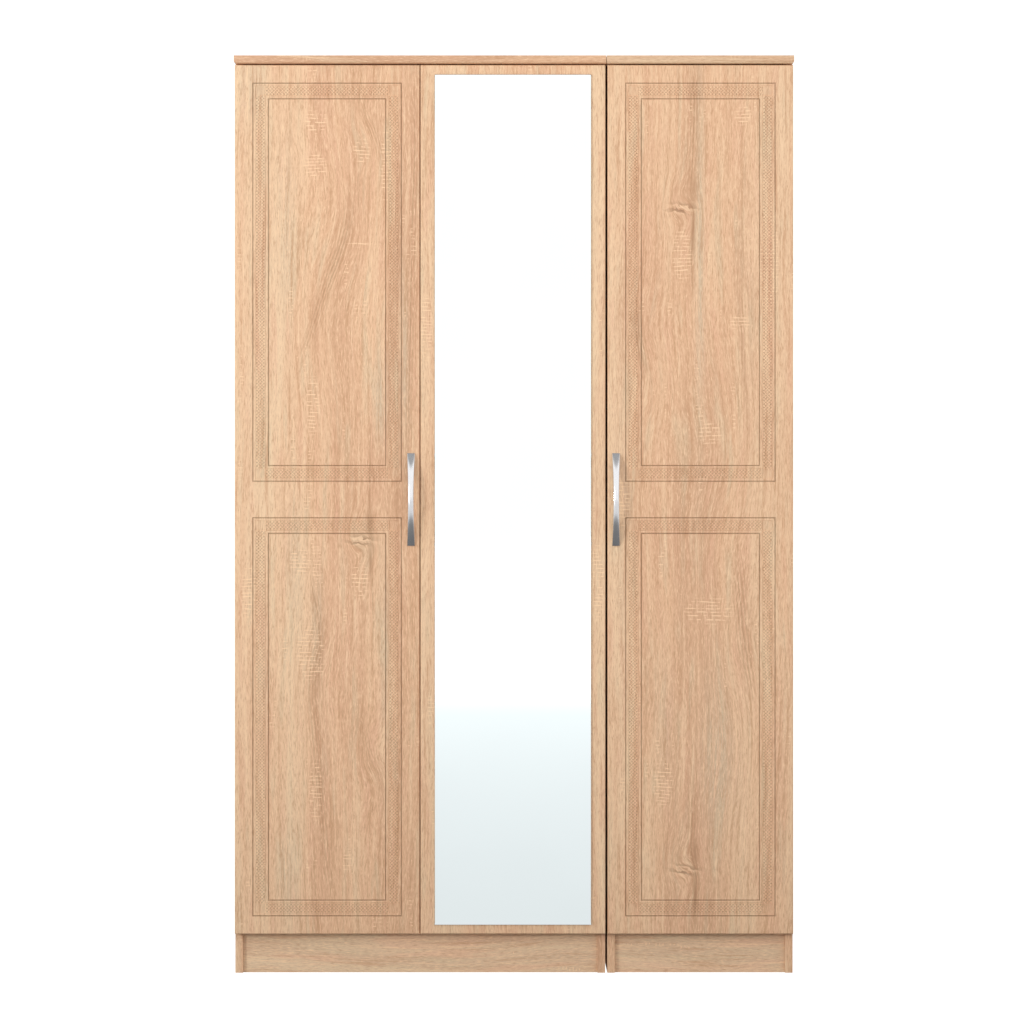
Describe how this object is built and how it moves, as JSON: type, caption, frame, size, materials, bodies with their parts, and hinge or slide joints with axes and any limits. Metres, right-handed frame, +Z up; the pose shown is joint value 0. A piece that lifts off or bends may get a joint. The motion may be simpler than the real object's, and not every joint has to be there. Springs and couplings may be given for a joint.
{
  "type": "wardrobe",
  "caption": "Wardrobe made of cabinets standing side by side, with framed sawn-oak doors edged by a lattice band, a mirror door, bow handles, hat shelves and hanging rails.",
  "frame": {"origin": "centre of the overall bounding box on the floor plane, handles included", "axes": "+X to the viewer's right when facing the doors, +Y towards the wall behind, +Z up"},
  "size_m": [1.109, 0.554, 1.818],
  "materials": {
    "beech": "fluted beech dowel",
    "brown_plastic": "moulded corner bracket",
    "chrome_casting": "chromed zinc casting",
    "chrome_tube": "chromed oval steel tube",
    "clear_buffer": "translucent soft bumper",
    "foam_tape": "double-sided foam mounting tape",
    "grey_plastic": "moulded spacer",
    "hardboard": "thin hardboard, pale printed inner face",
    "nickel_peg": "nickel-plated peg",
    "nickel_steel": "nickel-plated pressed steel",
    "oak_board": "light sawn oak melamine board with matching edge band, satin",
    "oak_framed_door": "light sawn oak foil on a routed fibreboard door, satin, vertical grain",
    "oak_plain_door": "light sawn oak foil, satin, vertical grain",
    "oak_plinth": "light sawn oak melamine, horizontal grain, satin",
    "oak_top": "light sawn oak melamine, grain along the top, satin",
    "pin_steel": "turned steel pin",
    "satin_nickel": "satin nickel casting",
    "silvered_glass": "silvered float glass, bevelled edge",
    "zinc_casting": "zinc die casting",
    "zinc_screw": "bright zinc-plated steel"
  },
  "bodies": {
    "carcass": {"back_nails": "zinc_screw", "cam_bolts": "zinc_screw", "cam_locks": "zinc_casting", "double_back": "hardboard", "double_bottom": "oak_board", "double_plinth": "oak_plinth", "double_rail": "chrome_tube", "double_rail_sockets": "chrome_casting", "double_shelf": "oak_board", "double_side_left": "oak_board", "double_side_right": "oak_board", "double_top": "oak_top", "dowels": "beech", "hinge_arm_screws": "zinc_screw", "hinge_plate_screws": "zinc_screw", "left_hinge_arms": "nickel_steel", "left_hinge_plates": "nickel_steel", "mirror_hinge_arms": "nickel_steel", "mirror_hinge_plates": "nickel_steel", "plinth_bracket_screws": "zinc_screw", "plinth_brackets": "brown_plastic", "rail_socket_screws": "zinc_screw", "right_hinge_arms": "nickel_steel", "right_hinge_plates": "nickel_steel", "shelf_pegs": "nickel_peg", "single_back": "hardboard", "single_bottom": "oak_board", "single_plinth": "oak_plinth", "single_rail": "chrome_tube", "single_rail_sockets": "chrome_casting", "single_shelf": "oak_board", "single_side_left": "oak_board", "single_side_right": "oak_board", "single_top": "oak_top", "unit_connector_bolts": "zinc_screw", "unit_connector_sleeves": "zinc_screw", "unit_spacers": "grey_plastic"},
    "left_leaf": {"left_buffers": "clear_buffer", "left_cup_screws": "zinc_screw", "left_door": "oak_framed_door", "left_handle": "satin_nickel", "left_handle_screws": "zinc_screw", "left_hinge_cups": "nickel_steel", "left_hinge_pins": "pin_steel"},
    "mirror_leaf": {"mirror_buffers": "clear_buffer", "mirror_cup_screws": "zinc_screw", "mirror_door": "oak_plain_door", "mirror_glass": "silvered_glass", "mirror_hinge_cups": "nickel_steel", "mirror_hinge_pins": "pin_steel", "mirror_tape": "foam_tape"},
    "right_leaf": {"right_buffers": "clear_buffer", "right_cup_screws": "zinc_screw", "right_door": "oak_framed_door", "right_handle": "satin_nickel", "right_handle_screws": "zinc_screw", "right_hinge_cups": "nickel_steel", "right_hinge_pins": "pin_steel"}
  },
  "joints": [
    {"name": "left_door_swing", "type": "hinge", "parent": "carcass", "child": "left_leaf", "pos_m": [-0.546, -0.2415, 0.93925], "axis": [0, 0, -1], "range_deg": [0, 95]},
    {"name": "mirror_door_swing", "type": "hinge", "parent": "carcass", "child": "mirror_leaf", "pos_m": [0.174, -0.2415, 0.93925], "axis": [0, 0, 1], "range_deg": [0, 95]},
    {"name": "right_door_swing", "type": "hinge", "parent": "carcass", "child": "right_leaf", "pos_m": [0.546, -0.2415, 0.93925], "axis": [0, 0, 1], "range_deg": [0, 95]}
  ]
}
